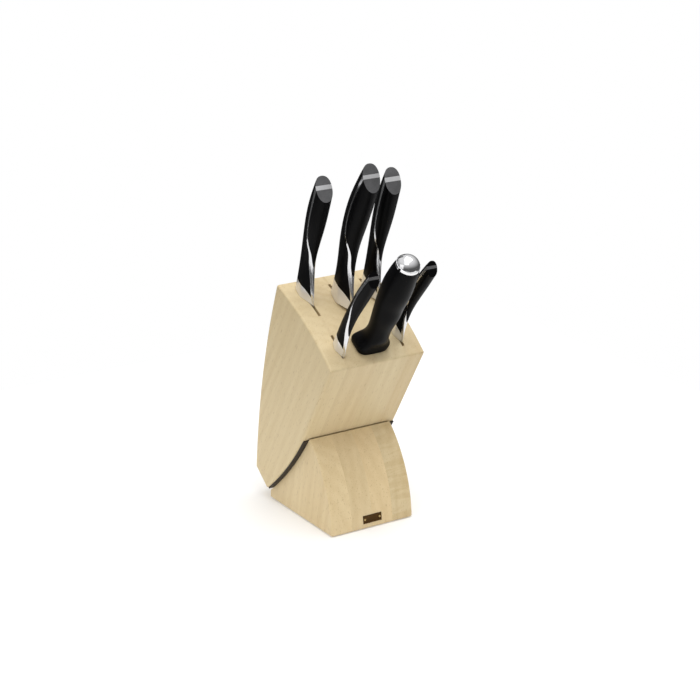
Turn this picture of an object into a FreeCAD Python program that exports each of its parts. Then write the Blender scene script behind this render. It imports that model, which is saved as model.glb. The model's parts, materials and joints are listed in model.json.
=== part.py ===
import FreeCAD, Part
import math
import os

# Knife block with five knives and a sharpening steel.
# Millimetres.  +Z up, the block leans towards -Y (its front), +X to its right.
# A leaning laminated block stands in the curved seat of a laminated base.
# Every knife and the steel is lifted out along its own slot.

V = FreeCAD.Vector

# ---------------------------------------------------------------- block
BLOCK_WIDTH = 110.0
BLOCK_TOP_DEPTH = 120.0      # front top edge to rear top edge, along the slope
BLOCK_FRONT_LENGTH = 103.0   # front top edge down to the front of the underside
TOP_SLOPE = 31.5             # degrees, the top falls to the front
TOP_BOW = 6.0                # rise of the arched top over its chord
BACK_BOW = 8.0
UNDERSIDE_BOW = 4.0
EDGE_ROUND = 2.5
BACK_RUN = 49.8              # rear bottom corner behind the rear top edge
REAR_CORNER_HEIGHT = 29.9
# side-view places (y, z) from the base's front bottom edge
LOWEST_TIP = (118.9, 12.4)   # lowest point of the block
FRONT_FOOT = (43.1, 92.0)    # where the front face meets the base

# ---------------------------------------------------------------- blades
BLADE_THICKNESS = 2.2        # long blades
PARING_THICKNESS = 1.8       # short blades
EDGE_THICKNESS = 0.5
LONG_BLADE = 200.0
PARING_BLADE = 76.0
UTILITY_BLADE = 74.0
BREAD_WIDTH = 25.0
CHEF_WIDTH = 36.0
CARVING_WIDTH = 26.0
PARING_WIDTH = 18.5
UTILITY_WIDTH = 17.0
SERRATION_PITCH = 5.0
SERRATION_DEPTH = 1.6

# ---------------------------------------------------------------- slots
SIDE_CLEARANCE = 0.4         # between a long blade and each wall of its slot
TIP_ROOM = 6.0               # under the tips
SLOT_THICKNESS = BLADE_THICKNESS + 2 * SIDE_CLEARANCE
REAR_SLOT_DEPTH = LONG_BLADE + TIP_ROOM
FRONT_SLOT_DEPTH = max(PARING_BLADE, UTILITY_BLADE) + TIP_ROOM
SIDE_SLOT_X = 35.0           # slot planes left and right of the middle
MIDDLE_SLOT_X = -2.0
REAR_SLOT_INSET = 14.3       # rear end of the rear slots, from the rear top edge
REAR_SLOT_U = BLOCK_TOP_DEPTH - REAR_SLOT_INSET
FRONT_SLOT_U = 39.7          # rear end of the front slots, from the front top edge
REAR_LEAN = 16.0             # degrees the rear slots lean back from the top's normal
GAP = 0.3                    # under bolsters and guard

# ---------------------------------------------------------------- steel
STEEL_X = 0.0
STEEL_U = 18.0
STEEL_LEAN = -2.0
ROD_RADIUS = 5.0
ROD_LENGTH = 160.0
ROD_TANG = 60.0              # length of the rod inside the handle
ROD_TIP_ROUND = 2.5
BORE_CLEARANCE = 0.75
BORE_ROOM = 8.0              # under the rod's tip
BORE_DEPTH = ROD_LENGTH + BORE_ROOM
STEEL_HANDLE_LENGTH = 116.0
CAP_HEIGHT = 11.0
CAP_RIM = 3.0                # straight part of the cap

# ---------------------------------------------------------------- base
BASE_INSET = 6.5             # block past the base on each side
BASE_WIDTH = BLOCK_WIDTH - 2 * BASE_INSET
BASE_BOARDS = 4
BASE_DEPTH = 121.8
BASE_REAR_HEIGHT = 8.3
BASE_FRONT_BOW = 10.0
BASE_ROUND = 1.5
LINER_THICKNESS = 1.5
LINER_INSET = 1.0
LINER_FRONT_GAP = 1.0        # behind the base's top edge
FOOT_RADIUS = 6.0
FOOT_HEIGHT = 2.5
FOOT_PROUD = 1.0
FOOT_ROUND = 0.4
FOOT_INSET_X = 11.0
FOOT_INSET_Y = 13.0
SCREW_RADIUS = 2.5
SCREW_LENGTH = 48.0
SCREW_TIP_LENGTH = 4.0
SCREW_TIP_RADIUS = 0.6
SCREW_HEAD_RADIUS = 4.8
SCREW_HEAD_HEIGHT = 3.2
SCREW_HEAD_ROUND = 0.9
CROSS_LENGTH = 5.0           # cross recess in the screw head
CROSS_WIDTH = 1.1
CROSS_DEPTH = 2.0
SCREW_X = 16.0
SCREW_Y = 93.0
COUNTERBORE_DEPTH = 16.0
COUNTERBORE_ROOM = 1.0       # round the screw head
DOWEL_RADIUS = 4.0
DOWEL_LENGTH = 26.0
DOWEL_Y = 64.0
FIT = 0.05
PLATE_WIDTH = 22.0
PLATE_HEIGHT = 8.4
PLATE_THICKNESS = 1.2
PLATE_PROUD = 0.4
PLATE_LEVEL = 9.3
PIN_INSET = 2.2              # pins from the ends of the plate
PIN_RADIUS = 0.6
PIN_HEAD_RADIUS = 1.1
PIN_HEAD_HEIGHT = 0.5
PIN_LENGTH = 9.0

# ---------------------------------------------------------------- knives
# Handle shapes.  Each row: height above the block along the knife,
# spine line and edge line (both measured back from the slot's rear end),
# half thickness, and how far the section narrows towards the edge side.
CHEF_SHAPE = [
    (-4.0, -8.2, -49.5, 7.2, 0.92),
    (8.0, -9.6, -46.0, 7.1, 0.85),
    (22.0, -11.2, -41.0, 6.9, 0.55),
    (40.0, -11.7, -37.0, 7.1, 0.25),
    (60.0, -11.4, -36.6, 8.2, 0.05),
    (80.0, -12.3, -40.3, 9.4, 0.0),
    (100.0, -15.0, -44.8, 10.0, 0.0),
    (120.0, -20.4, -48.6, 10.0, 0.0),
    (138.0, -27.4, -51.6, 9.6, 0.0),
    (152.0, -33.4, -55.5, 9.0, 0.0),
    (162.0, -39.0, -60.0, 8.4, 0.0),
]
CHEF_BAND = [
    (-6.0, -49.0, 7.0), (8.0, -45.0, 5.4), (22.0, -39.9, 4.4), (41.0, -34.4, 2.8),
    (54.0, -33.4, 2.2), (62.0, -31.2, 2.0), (69.0, -27.9, 1.9), (78.0, -26.4, 1.9),
    (91.0, -26.9, 1.9), (110.0, -30.4, 2.2), (141.0, -40.4, 3.3), (165.0, -49.0, 3.6),
]
CHEF_BUTT = ((-33.6, 154.4), (-48.1, 133.0))
CHEF_FERRULE = [(20.0, 16.5), (-12.0, 16.0), (-22.0, 14.8), (-31.0, 12.0), (-39.0, 7.5), (-60.0, -10.0)]

MEDIUM_SHAPE = [
    (-4.0, 6.4, -27.0, 6.5, 0.92),
    (8.0, 5.8, -24.4, 6.4, 0.85),
    (20.0, 5.3, -20.8, 6.2, 0.55),
    (38.0, 4.9, -16.4, 6.1, 0.25),
    (58.0, 4.7, -17.2, 7.0, 0.05),
    (80.0, 3.8, -20.2, 8.6, 0.0),
    (100.0, 1.4, -22.0, 9.3, 0.0),
    (116.0, -2.2, -23.4, 9.2, 0.0),
    (130.0, -6.2, -25.4, 8.8, 0.0),
    (142.0, -11.5, -29.0, 8.2, 0.0),
]
MEDIUM_BAND = [
    (-6.0, -26.6, 6.4), (8.0, -23.4, 4.8), (20.0, -19.8, 4.0), (40.0, -14.4, 2.6),
    (50.0, -13.0, 2.1), (57.0, -10.8, 2.0), (64.0, -9.1, 1.8), (76.0, -8.8, 1.8),
    (100.0, -11.2, 2.1), (124.0, -13.9, 3.2), (146.0, -17.0, 3.4),
]
MEDIUM_BUTT = ((-6.5, 130.9), (-20.3, 113.3))
MEDIUM_FERRULE = [(28.0, 13.8), (4.0, 13.2), (-4.0, 12.4), (-11.5, 10.4), (-18.0, 6.5), (-36.0, -8.0)]

SMALL_SHAPE = [
    (-3.0, -7.2, -28.4, 4.9, 0.92),
    (7.0, -7.2, -26.4, 4.9, 0.85),
    (18.0, -7.4, -23.8, 4.9, 0.5),
    (34.0, -7.7, -22.2, 5.1, 0.2),
    (50.0, -8.9, -23.2, 5.4, 0.05),
    (66.0, -10.4, -25.6, 5.9, 0.0),
    (82.0, -13.0, -28.2, 6.2, 0.0),
    (97.0, -16.2, -30.4, 6.1, 0.0),
    (108.0, -19.2, -32.6, 5.8, 0.0),
    (118.0, -22.6, -35.4, 5.4, 0.0),
]
SMALL_BAND = [
    (-5.0, -28.2, 5.0), (7.0, -25.7, 4.0), (18.0, -22.8, 3.2), (34.0, -19.6, 2.2),
    (46.0, -18.7, 1.7), (56.0, -17.4, 1.6), (66.0, -17.0, 1.6), (80.0, -18.8, 1.6),
    (97.0, -22.2, 2.2), (121.0, -28.0, 2.6),
]
SMALL_BUTT = ((-18.0, 112.0), (-28.6, 99.6))
SMALL_FERRULE = [(12.0, 13.4), (-8.0, 12.9), (-13.0, 12.2), (-18.0, 10.4), (-22.5, 7.0), (-40.0, -8.0)]

# Slot outlines below the top: distance forward from the slot's rear end, and
# depth as a share of the slot's whole depth.
LEFT_SLOT = [(39.4, 0.41), (36.0, 0.73), (24.0, 1.0)]
MIDDLE_SLOT = [(52.0, 0.36), (47.0, 0.53), (37.2, 0.68), (27.5, 0.835), (20.0, 1.0)]
RIGHT_SLOT = [(44.0, 0.29), (38.0, 0.45), (36.0, 0.73), (22.0, 1.0)]
FRONT_SLOT = [(28.0, 0.61), (10.0, 1.0)]

# Steel handle.  Rows: height, half width, half depth, squareness, centre to the rear.
STEEL_PROFILE = [
    (-6.0, 18.4, 12.4, 4.5, 4.2), (3.0, 18.4, 12.4, 4.5, 4.2), (7.5, 18.0, 12.0, 4.2, 4.0),
    (11.5, 15.4, 11.9, 3.0, 2.8), (17.0, 12.8, 12.2, 2.3, 1.0), (25.0, 11.8, 11.8, 2.05, 0.5),
    (38.0, 12.5, 12.5, 2.0, 0.8), (56.0, 14.2, 14.2, 2.0, 1.4), (76.0, 15.4, 15.4, 2.0, 2.2),
    (94.0, 15.2, 15.2, 2.0, 2.4), (107.0, 13.9, 13.9, 2.0, 2.2), (116.0, 12.3, 12.3, 2.0, 2.0),
]


# ================================================================ frames
def rad(a):
    return math.radians(a)


TOP_DIR = V(0, math.cos(rad(TOP_SLOPE)), math.sin(rad(TOP_SLOPE)))
TOP_NORMAL = V(0, -math.sin(rad(TOP_SLOPE)), math.cos(rad(TOP_SLOPE)))
FRONT_TOP = V(0, FRONT_FOOT[0], FRONT_FOOT[1]) + TOP_NORMAL * BLOCK_FRONT_LENGTH
REAR_TOP = FRONT_TOP + TOP_DIR * BLOCK_TOP_DEPTH


def rise(u):
    """Rise of the arched top over its chord, u from the front top edge."""
    t = u / BLOCK_TOP_DEPTH
    half = BLOCK_TOP_DEPTH / 2.0
    radius = (half * half + TOP_BOW * TOP_BOW) / (2.0 * TOP_BOW)
    d = (t - 0.5) * BLOCK_TOP_DEPTH
    return math.sqrt(radius * radius - d * d) - (radius - TOP_BOW)


class Seat:
    """Frame of one slot: across (to the rear), along (out of the block)."""

    def __init__(self, x, u, lean):
        self.x = x
        self.u = u
        self.lean = lean
        c = math.cos(rad(lean))
        s = math.sin(rad(lean))
        self.along = TOP_NORMAL * c + TOP_DIR * s
        self.across = TOP_DIR * c - TOP_NORMAL * s
        self.origin = FRONT_TOP + TOP_DIR * u + TOP_NORMAL * rise(u)

    def at(self, h, s, x=0.0):
        p = self.origin + self.across * h + self.along * s
        return V(self.x + x, p.y, p.z)


def prism(points, x0, x1):
    """Closed outline of 3-D points in a YZ plane, run from x0 to x1."""
    flat = [V(x0, p.y, p.z) for p in points]
    face = Part.Face(Part.makePolygon(flat + [flat[0]]))
    return face.extrude(V(x1 - x0, 0, 0))


def spline_through(points):
    c = Part.BSplineCurve()
    c.interpolate(points)
    return c.toShape()


def spline_prism(curve_points, closing_points, x0, x1):
    """Prism bounded by a smooth curve on one side and straight lines elsewhere."""
    a = [V(x0, p.y, p.z) for p in curve_points]
    b = [V(x0, p.y, p.z) for p in closing_points]
    edges = [spline_through(a)]
    chain = [a[-1]] + b + [a[0]]
    for p, q in zip(chain[:-1], chain[1:]):
        edges.append(Part.makeLine(p, q))
    face = Part.Face(Part.Wire(edges))
    return face.extrude(V(x1 - x0, 0, 0))


def bow_mid(p, q, bow):
    """Middle of an arc from p to q in a YZ plane, bulging to the right of p to q."""
    d = q - p
    n = V(0, d.z, -d.y)
    n.normalize()
    return (p + q) * 0.5 + n * bow


def arc(p, q, bow):
    return Part.Arc(p, bow_mid(p, q, bow), q).toShape()


def yz(pair):
    return V(0, pair[0], pair[1])


def shifted(shape, x):
    s = shape.copy()
    s.translate(V(x, 0, 0))
    return s


def slab(shape, x0, x1):
    box = Part.makeBox(x1 - x0, 900, 900, V(x0, -300, -300))
    return shape.common(box)


def solids_of(shape):
    """The solids of a shape, as one shape."""
    s = shape.Solids
    if len(s) == 1:
        return s[0]
    return Part.makeCompound(s)


# ================================================================ wood
def block_profile_solid():
    a = FRONT_TOP
    b = REAR_TOP
    c = V(0, REAR_TOP.y + BACK_RUN, REAR_CORNER_HEIGHT)
    d = yz(LOWEST_TIP)
    e = yz(FRONT_FOOT)
    edges = [
        arc(a, b, -TOP_BOW),
        arc(b, c, -BACK_BOW),
        Part.makeLine(c, d),
        arc(d, e, -UNDERSIDE_BOW),
        Part.makeLine(e, a),
    ]
    face = Part.Face(Part.Wire(edges))
    face.translate(V(-BLOCK_WIDTH / 2.0, 0, 0))
    return face.extrude(V(BLOCK_WIDTH, 0, 0))


def rounded_block():
    s = block_profile_solid()
    return s.makeFillet(EDGE_ROUND, s.Edges)


def slot_points(seat, outline, whole_depth, top=18.0):
    """Slot outline, run out past the top, from shares of its whole depth."""
    pts = [seat.at(0, top), seat.at(0, -whole_depth)]
    for forward, share in reversed(outline):
        pts.append(seat.at(-forward, -share * whole_depth))
    pts.append(seat.at(-outline[0][0], top))
    return pts


def slot_prism(seat, outline, whole_depth, x0, x1):
    return prism(slot_points(seat, outline, whole_depth), x0, x1)


def half_plane(seat, h0, h1, s0, s1, x0, x1):
    pts = [seat.at(h0, s0), seat.at(h1, s0), seat.at(h1, s1), seat.at(h0, s1)]
    return prism(pts, x0, x1)


def steel_bore(seat, above=25.0):
    r = ROD_RADIUS + BORE_CLEARANCE
    return Part.makeCylinder(r, above + BORE_DEPTH, seat.at(0, above), seat.along * -1.0)


def seam_strips(block, x, rear_seat, rear_outline, front_seat, front_hollow, front_depth):
    """Strips that fill one seam round a rear slot and the hollow in front of it."""
    x0 = x - SLOT_THICKNESS / 2.0
    x1 = x + SLOT_THICKNESS / 2.0
    far = 500.0
    deep = REAR_SLOT_DEPTH
    layer = slab(block, x0, x1)
    rear = layer.common(half_plane(rear_seat, 0, far, -far, far, x0, x1))
    ahead = layer.common(half_plane(rear_seat, -far, 0, -far, far, x0, x1))
    below = ahead.common(half_plane(rear_seat, -far, 0, -far, -deep, x0, x1))
    rest = ahead.common(half_plane(rear_seat, -far, 0, -deep, far, x0, x1))
    rest = rest.cut([slot_prism(rear_seat, rear_outline, deep, x0, x1), front_hollow])
    back = rest.common(half_plane(front_seat, 0, far, -far, far, x0, x1))
    front = rest.common(half_plane(front_seat, -far, 0, -far, far, x0, x1))
    floor = front.common(half_plane(front_seat, -far, 0, -far, -front_depth, x0, x1))
    nose = front.common(half_plane(front_seat, -far, 0, -front_depth, far, x0, x1))
    strips = [rear, below, back, floor, nose]
    return Part.makeCompound([solid for strip in strips for solid in strip.Solids])


def underside_centre():
    """Centre and radius of the underside's arc."""
    d = yz(LOWEST_TIP)
    e = yz(FRONT_FOOT)
    mid = bow_mid(d, e, -UNDERSIDE_BOW)
    half = (e - d).Length / 2.0
    radius = (half * half + UNDERSIDE_BOW * UNDERSIDE_BOW) / (2.0 * UNDERSIDE_BOW)
    inward = (d + e) * 0.5 - mid
    inward.normalize()
    return mid + inward * radius, radius


def seat_cylinder(extra, width):
    c, r = underside_centre()
    return Part.makeCylinder(r + extra, width, V(-width / 2.0, c.y, c.z), V(1, 0, 0))


def under_point(extra, y):
    """Point of the seat at depth y, extra below the underside."""
    c, r = underside_centre()
    rr = r + extra
    dy = y - c.y
    return V(0, y, c.z - math.sqrt(rr * rr - dy * dy))


def cradle_liner():
    width = BLOCK_WIDTH - 2.0 * LINER_INSET
    ring = seat_cylinder(LINER_THICKNESS, width).cut(seat_cylinder(0.0, width + 20))
    front = under_point(LINER_THICKNESS / 2.0, FRONT_FOOT[0] + LINER_FRONT_GAP)
    rear = under_point(LINER_THICKNESS / 2.0, LOWEST_TIP[0] - EDGE_ROUND)
    c, r = underside_centre()
    a = front - c
    b = rear - c
    wedge = prism([c, c + a * 2.0, c + (a + b) * 1.3, c + b * 2.0], -width, width)
    return solids_of(ring.common(wedge))


def rounded_base():
    top = yz(FRONT_FOOT)
    front = V(0, 0, 0)
    rear_low = V(0, BASE_DEPTH, 0)
    rear_high = V(0, BASE_DEPTH, BASE_REAR_HEIGHT)
    c, r = underside_centre()
    rr = r + LINER_THICKNESS
    # the seat runs from the rear top edge up to the front top edge
    away_rear = rear_high - c
    away_rear.normalize()
    away_top = top - c
    away_top.normalize()
    seat_rear = c + away_rear * rr
    seat_top = c + away_top * rr
    mid_dir = away_rear + away_top
    mid_dir.normalize()
    seat_mid = c + mid_dir * rr
    edges = [
        Part.makeLine(front, rear_low),
        Part.makeLine(rear_low, seat_rear),
        Part.Arc(seat_rear, seat_mid, seat_top).toShape(),
        Part.Arc(seat_top, bow_mid(seat_top, front, BASE_FRONT_BOW), front).toShape(),
    ]
    face = Part.Face(Part.Wire(edges))
    face.translate(V(-BASE_WIDTH / 2.0, 0, 0))
    s = face.extrude(V(BASE_WIDTH, 0, 0))
    rounded = []
    for e in s.Edges:
        m = e.CenterOfMass
        on_side = abs(abs(m.x) - BASE_WIDTH / 2.0) < 0.01
        straight_low = on_side and abs(m.z) < 0.01
        front_curve = on_side and m.y < FRONT_FOOT[0] and m.z > 0.01
        if straight_low or front_curve:
            rounded.append(e)
        if (not on_side) and abs(m.z) < 0.01:
            rounded.append(e)
    return s.makeFillet(BASE_ROUND, rounded)


def front_point(level):
    """Point on the base's front and its outward direction, at a height."""
    c, r = underside_centre()
    away_top = yz(FRONT_FOOT) - c
    away_top.normalize()
    top = c + away_top * (r + LINER_THICKNESS)
    foot = V(0, 0, 0)
    mid = bow_mid(top, foot, BASE_FRONT_BOW)
    half = (foot - top).Length / 2.0
    radius = (half * half + BASE_FRONT_BOW * BASE_FRONT_BOW) / (2.0 * BASE_FRONT_BOW)
    inward = (top + foot) * 0.5 - mid
    inward.normalize()
    centre = mid + inward * radius
    dz = level - centre.z
    y = centre.y - math.sqrt(radius * radius - dz * dz)
    out = V(0, y - centre.y, dz)
    out.normalize()
    return V(0, y, level), out


def plate_box(width, height, back, proud):
    """Box on the base's front face: back into the wood, proud out of it."""
    p, out = front_point(PLATE_LEVEL)
    up = V(0, out.z, -out.y)
    pts = []
    for o, k in ((-back, -0.5), (proud, -0.5), (proud, 0.5), (-back, 0.5)):
        pts.append(p + out * o + up * (k * height))
    return prism(pts, -width / 2.0, width / 2.0)


def pin_starts():
    """Outer ends of the two plate pins, and their outward direction."""
    p, out = front_point(PLATE_LEVEL)
    tip = p + out * (PLATE_PROUD + PIN_HEAD_HEIGHT)
    x = PLATE_WIDTH / 2.0 - PIN_INSET
    return [V(-x, tip.y, tip.z), V(x, tip.y, tip.z)], out


def plate_pin(start, out):
    shank = Part.makeCylinder(PIN_RADIUS, PIN_LENGTH, start, out * -1.0)
    head = Part.makeCylinder(PIN_HEAD_RADIUS, PIN_HEAD_HEIGHT, start, out * -1.0)
    return solids_of(shank.fuse(head).removeSplitter())


def pin_hole(start, out):
    return Part.makeCylinder(PIN_RADIUS + FIT, PIN_LENGTH + FIT, start, out * -1.0)


def foot_places():
    x = BASE_WIDTH / 2.0 - FOOT_INSET_X
    rear = BASE_DEPTH - FOOT_INSET_Y
    return {
        "foot_front_left": (-x, FOOT_INSET_Y),
        "foot_front_right": (x, FOOT_INSET_Y),
        "foot_rear_left": (-x, rear),
        "foot_rear_right": (x, rear),
    }


def foot(x, y):
    body = Part.makeCylinder(FOOT_RADIUS, FOOT_HEIGHT, V(x, y, -FOOT_PROUD))
    low = [e for e in body.Edges if abs(e.CenterOfMass.z + FOOT_PROUD) < 0.01]
    return body.makeFillet(FOOT_ROUND, low)


def foot_recess(x, y):
    return Part.makeCylinder(FOOT_RADIUS + FIT, FOOT_HEIGHT - FOOT_PROUD, V(x, y, 0))


def screw(x):
    """Pan-head wood screw, head down inside its counterbore in the base."""
    z0 = COUNTERBORE_DEPTH
    bottom = z0 - SCREW_HEAD_HEIGHT
    straight = SCREW_LENGTH - SCREW_TIP_LENGTH
    head = Part.makeCylinder(SCREW_HEAD_RADIUS, SCREW_HEAD_HEIGHT, V(x, SCREW_Y, bottom))
    low = [e for e in head.Edges if abs(e.CenterOfMass.z - bottom) < 0.01]
    head = head.makeFillet(SCREW_HEAD_ROUND, low)
    shank = Part.makeCylinder(SCREW_RADIUS, straight, V(x, SCREW_Y, z0))
    tip_start = V(x, SCREW_Y, z0 + straight)
    tip = Part.makeCone(SCREW_RADIUS, SCREW_TIP_RADIUS, SCREW_TIP_LENGTH, tip_start)
    body = head.fuse([shank, tip]).removeSplitter()
    for w, l in ((CROSS_WIDTH, CROSS_LENGTH), (CROSS_LENGTH, CROSS_WIDTH)):
        corner = V(x - w / 2.0, SCREW_Y - l / 2.0, bottom)
        body = body.cut(Part.makeBox(w, l, CROSS_DEPTH, corner))
    return solids_of(body)


def screw_hole(x):
    z0 = COUNTERBORE_DEPTH
    below = 5.0
    room = SCREW_HEAD_RADIUS + COUNTERBORE_ROOM
    bore = Part.makeCylinder(room, z0 + below, V(x, SCREW_Y, -below))
    shank = Part.makeCylinder(SCREW_RADIUS + FIT, SCREW_LENGTH + 0.5, V(x, SCREW_Y, z0))
    return bore.fuse(shank)


def dowel_axis():
    p = under_point(LINER_THICKNESS / 2.0, DOWEL_Y)
    c, r = underside_centre()
    n = c - p
    n.normalize()
    return p, n


def dowel(x, radius, length):
    p, n = dowel_axis()
    start = p - n * (length / 2.0)
    return Part.makeCylinder(radius, length, V(x, start.y, start.z), n)


# ================================================================ knives
def handle_section(seat, row):
    s, top, low, half, taper = row
    c = (top + low) / 2.0
    a = (top - low) / 2.0
    pts = []
    n = 24
    for i in range(n):
        t = 2.0 * math.pi * i / n
        ct = math.cos(t)
        st = math.sin(t)
        x = half * math.copysign(abs(ct) ** 0.88, ct)
        h = a * math.copysign(abs(st) ** 0.92, st)
        down = max(0.0, -st)
        x = x * (1.0 - taper * down * 0.92)
        pts.append(seat.at(c + h, s, x))
    curve = Part.BSplineCurve()
    curve.interpolate(pts, PeriodicFlag=True)
    return Part.Wire([curve.toShape()])


def moved_rows(rows, shift, stretch):
    out = []
    for row in rows:
        out.append((row[0] * stretch, row[1] + shift, row[2] + shift) + tuple(row[3:]))
    return out


def tangent_cut(seat, h_mid, x0, x1):
    """Everything below a plane just over the top, level with it under h_mid."""
    u = seat.u + h_mid * math.cos(rad(seat.lean))
    eps = 0.05
    p = FRONT_TOP + TOP_DIR * u + TOP_NORMAL * rise(u)
    q = FRONT_TOP + TOP_DIR * (u + eps) + TOP_NORMAL * rise(u + eps)
    t = q - p
    t.normalize()
    n = V(0, -t.z, t.y)
    p = p + n * GAP
    pts = [p - t * 150, p + t * 150, p + t * 150 - n * 300, p - t * 150 - n * 300]
    return prism(pts, x0, x1)


class Knife:
    def __init__(self, name, seat, rows, band, butt, ferrule, shift=0.0, stretch=1.0):
        self.name = name
        self.seat = seat
        self.rows = moved_rows(rows, shift, stretch)
        self.band = [(s * stretch, h + shift, t) for s, h, t in band]
        self.butt = [(h + shift, s * stretch) for h, s in butt]
        self.ferrule = [(h + shift, s) for h, s in ferrule]

    def whole_handle(self):
        seat = self.seat
        wires = [handle_section(seat, row) for row in self.rows]
        body = Part.makeLoft(wires, True, False)
        (h1, s1), (h2, s2) = self.butt
        dh = h2 - h1
        ds = s2 - s1
        length = math.hypot(dh, ds)
        dh = dh / length
        ds = ds / length
        a = (h1 - dh * 60, s1 - ds * 60)
        b = (h2 + dh * 60, s2 + ds * 60)
        nh = ds
        ns = -dh
        c = (b[0] + nh * 90, b[1] + ns * 90)
        d = (a[0] + nh * 90, a[1] + ns * 90)
        x0 = seat.x - 40
        x1 = seat.x + 40
        body = body.cut(prism([seat.at(*p) for p in (a, b, c, d)], x0, x1))
        return solids_of(body.cut(self.under_side(x0, x1)))

    def under_side(self, x0, x1):
        h_mid = (self.rows[0][1] + self.rows[0][2]) / 2.0
        return tangent_cut(self.seat, h_mid, x0, x1)

    def band_side(self, sign):
        """Prism on the spine side (+1) or edge side (-1) of the band."""
        seat = self.seat
        curve = [seat.at(h + sign * t / 2.0, s) for s, h, t in self.band]
        s0 = self.band[0][0]
        s1 = self.band[-1][0]
        far = self.band[-1][1] + sign * 150.0
        closing = [seat.at(far, s1), seat.at(far, s0)]
        return spline_prism(curve, closing, seat.x - 40, seat.x + 40)

    def band_prism(self):
        seat = self.seat
        x0 = seat.x - 40
        x1 = seat.x + 40
        near = [seat.at(h + t / 2.0, s) for s, h, t in self.band]
        away = [seat.at(h - t / 2.0, s) for s, h, t in self.band]
        near = [V(x0, p.y, p.z) for p in near]
        away = [V(x0, p.y, p.z) for p in away]
        edges = [
            spline_through(near),
            Part.makeLine(near[-1], away[-1]),
            spline_through(list(reversed(away))),
            Part.makeLine(away[0], near[0]),
        ]
        face = Part.Face(Part.Wire(edges))
        return face.extrude(V(x1 - x0, 0, 0))

    def ferrule_prism(self):
        seat = self.seat
        curve = [seat.at(h, s) for h, s in self.ferrule]
        closing = [seat.at(self.ferrule[-1][0], -60.0), seat.at(self.ferrule[0][0], -60.0)]
        return spline_prism(curve, closing, seat.x - 40, seat.x + 40)

    def pieces(self, blade):
        whole = self.whole_handle()
        below = self.ferrule_prism()
        bolster = whole.common(below)
        grip = whole.cut(below)
        spine = solids_of(grip.common(self.band_side(1)))
        edge = solids_of(grip.common(self.band_side(-1)))
        band = solids_of(grip.common(self.band_prism()))
        under = blade.common(self.under_side(self.seat.x - 40, self.seat.x + 40))
        forged = solids_of(under.fuse(bolster).removeSplitter())
        return {
            self.name + "_blade": forged,
            self.name + "_tang_band": band,
            self.name + "_spine_grip": spine,
            self.name + "_edge_grip": edge,
        }


def blade_solid(seat, inset, outline, thickness, top=6.0):
    """Blade ground thinner towards its edge.  outline: (width, depth), heel to tip."""
    spine_h = -inset
    heel_h = spine_h - outline[0][0]
    pts = [seat.at(spine_h, top), seat.at(spine_h, -outline[-1][1])]
    if abs(outline[-1][0]) > 0.01:
        pts.append(seat.at(spine_h - outline[-1][0], -outline[-1][1]))
    edge = [seat.at(spine_h - w, -d) for w, d in reversed(outline[:-1])]
    pts = pts + edge + [seat.at(spine_h - outline[0][0], top)]
    x0 = seat.x - 5
    x1 = seat.x + 5
    plate = prism(pts, x0, x1)
    t = thickness / 2.0
    e = EDGE_THICKNESS / 2.0
    # wedge-ground cross-section: flat to the middle, then thinning to the edge
    low = -600.0
    h = [spine_h + 0.01, spine_h - (spine_h - heel_h) * 0.3, heel_h - 0.01]
    ring = [
        seat.at(h[0], low, -t), seat.at(h[0], low, t),
        seat.at(h[1], low, t), seat.at(h[2], low, e),
        seat.at(h[2], low, -e), seat.at(h[1], low, -t),
    ]
    face = Part.Face(Part.makePolygon(ring + [ring[0]]))
    return plate.common(face.extrude(seat.along * 700.0))


def curved_edge(width, length, heel_depth, power, steps=14):
    """Edge line of a blade: full width at the heel, curving to the tip."""
    pts = [(width, heel_depth)]
    for i in range(1, steps):
        t = i / float(steps)
        pts.append((width * (1.0 - t ** power), heel_depth + (length - heel_depth) * t))
    pts.append((width * 0.02, length))
    return pts


def serrated_edge(width, length, heel_depth, pitch, depth, nose):
    """Straight serrated edge with a drooping tip."""
    pts = [(width, heel_depth)]
    run = length - nose
    count = int((run - heel_depth - 6.0) / pitch)
    step = (run - heel_depth - 6.0) / count
    d = heel_depth + 6.0
    pts.append((width, d))
    for i in range(count):
        pts.append((width - depth, d + step * 0.28))
        pts.append((width - depth, d + step * 0.72))
        pts.append((width, d + step))
        d += step
    for i in range(1, 7):
        a = i / 6.0 * math.pi / 2.0
        w = width * (0.12 + 0.88 * math.cos(a))
        pts.append((w, run + nose * math.sin(a)))
    return pts


# ================================================================ steel
def steel_seat():
    return Seat(STEEL_X, STEEL_U, STEEL_LEAN)


def superellipse_wire(seat, s, half_x, half_h, power, centre=0.0):
    pts = []
    n = 32
    for i in range(n):
        t = 2.0 * math.pi * i / n
        ct = math.cos(t)
        st = math.sin(t)
        x = half_x * math.copysign(abs(ct) ** (2.0 / power), ct)
        h = half_h * math.copysign(abs(st) ** (2.0 / power), st)
        pts.append(seat.at(centre + h, s, x))
    curve = Part.BSplineCurve()
    curve.interpolate(pts, PeriodicFlag=True)
    return Part.Wire([curve.toShape()])


def steel_handle():
    seat = steel_seat()
    stretch = STEEL_HANDLE_LENGTH / STEEL_PROFILE[-1][0]
    wires = []
    for s, hx, hh, power, centre in STEEL_PROFILE:
        wires.append(superellipse_wire(seat, s * stretch, hx, hh, power, centre))
    body = Part.makeLoft(wires, True, False)
    body = body.cut(tangent_cut(seat, 0.0, seat.x - 60, seat.x + 60))
    tang = Part.makeCylinder(ROD_RADIUS, 300, seat.at(0, -200), seat.along)
    keep = half_plane(seat, -60, 60, -60, ROD_TANG, seat.x - 60, seat.x + 60)
    return solids_of(body.cut(tang.common(keep)))


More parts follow.
